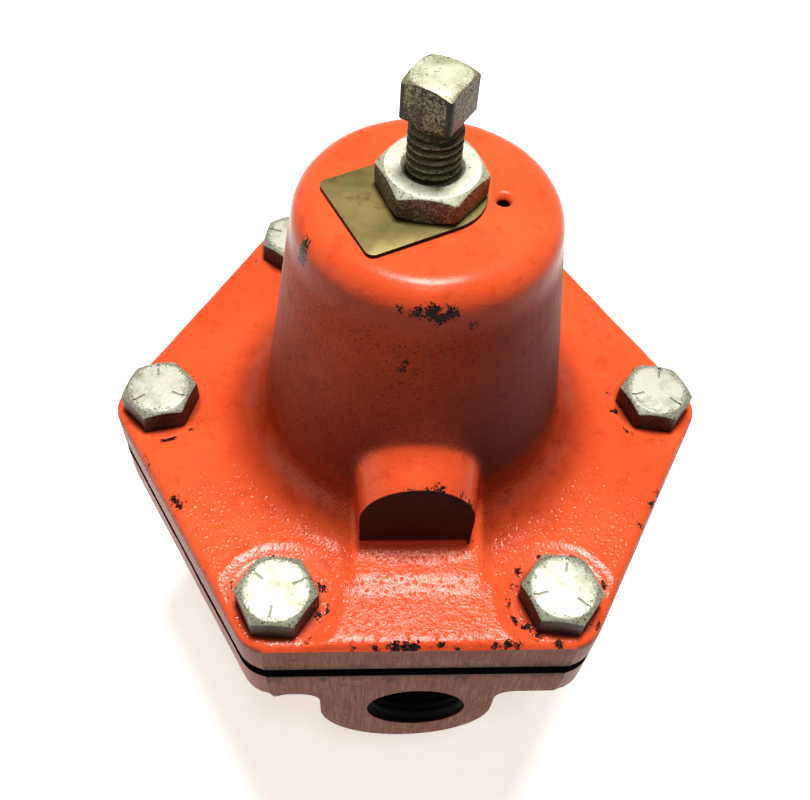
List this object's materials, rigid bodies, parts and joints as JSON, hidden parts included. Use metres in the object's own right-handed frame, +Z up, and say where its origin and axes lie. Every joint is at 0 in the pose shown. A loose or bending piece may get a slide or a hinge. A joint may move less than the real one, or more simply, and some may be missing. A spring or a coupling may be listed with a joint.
{
  "type": "pressure reducing valve",
  "caption": "Orange cast-iron diaphragm pressure regulator with hexagonal bolted flanges, a domed spring chamber and a square-head adjusting screw.",
  "frame": {"origin": "centre of the bottom plug's resting face, on the adjusting screw's axis", "axes": "+Z up along the adjusting screw, -Y out of the inlet, +Y out of the outlet, +X to the right when facing the inlet"},
  "size_m": [0.1314, 0.1158, 0.1785],
  "materials": {
    "orange_paint": "semi-gloss orange-red paint over rough sand-cast iron",
    "plated_steel": "dull zinc plate, pale top faces and darker sides",
    "tag_brass": "tarnished sheet brass",
    "trim_brass": "machined brass",
    "inner_steel": "machined, oiled",
    "spring_steel": "dark oiled spring wire",
    "gasket_fibre": "black compressed fibre sheet",
    "diaphragm_rubber": "black reinforced rubber sheet",
    "seat_rubber": "smooth black rubber"
  },
  "bodies": {
    "housing": {"valve_body": "orange_paint", "spring_chamber": "orange_paint", "tag_plate": "tag_brass", "flange_bolts": "plated_steel", "flange_nuts": "plated_steel", "upper_gasket": "gasket_fibre", "diaphragm": "diaphragm_rubber", "lower_gasket": "gasket_fibre", "range_spring": "spring_steel", "seat_ring": "trim_brass", "return_spring": "spring_steel", "bottom_plug": "orange_paint", "plug_gasket": "gasket_fibre"},
    "button": {"spring_button": "inner_steel"},
    "screw": {"adjusting_screw": "plated_steel"},
    "lock_nut": {"lock_nut": "plated_steel"},
    "diaphragm_stack": {"pusher_plate": "inner_steel", "pressure_plate": "inner_steel", "lock_washer": "inner_steel", "diaphragm_nut": "inner_steel"},
    "plunger": {"valve_plunger": "trim_brass", "seat_disc": "seat_rubber", "disc_retainer": "inner_steel"}
  },
  "joints": [
    {"name": "button_travel", "type": "slide", "parent": "housing", "child": "button", "axis": [0, 0, -1], "range_m": [-0.0039, 0.0095], "deforming": ["range_spring"]},
    {"name": "screw_turn", "type": "hinge", "parent": "button", "child": "screw", "pos_m": [0, 0, 0.134], "axis": [0, 0, -1], "range_deg": [-885, 2155], "deforming": ["range_spring"]},
    {"name": "lock_nut_turn", "type": "hinge", "parent": "housing", "child": "lock_nut", "pos_m": [0, 0, 0.1553], "axis": [0, 0, 1], "range_deg": [0, 360]},
    {"name": "diaphragm_travel", "type": "slide", "parent": "housing", "child": "diaphragm_stack", "axis": [0, 0, -1], "range_m": [0, 0.002], "deforming": ["range_spring", "diaphragm", "return_spring"]},
    {"name": "plunger_travel", "type": "slide", "parent": "housing", "child": "plunger", "axis": [0, 0, -1], "range_m": [0, 0.002], "stiffness_N_per_m": 1500, "springref_m": -0.008, "deforming": ["return_spring"]}
  ],
  "couplings": [
    {"joint": "screw_turn", "follows": "button_travel", "rad_per_m": 3957.9},
    {"joint": "plunger_travel", "follows": "diaphragm_travel", "ratio": 1}
  ]
}
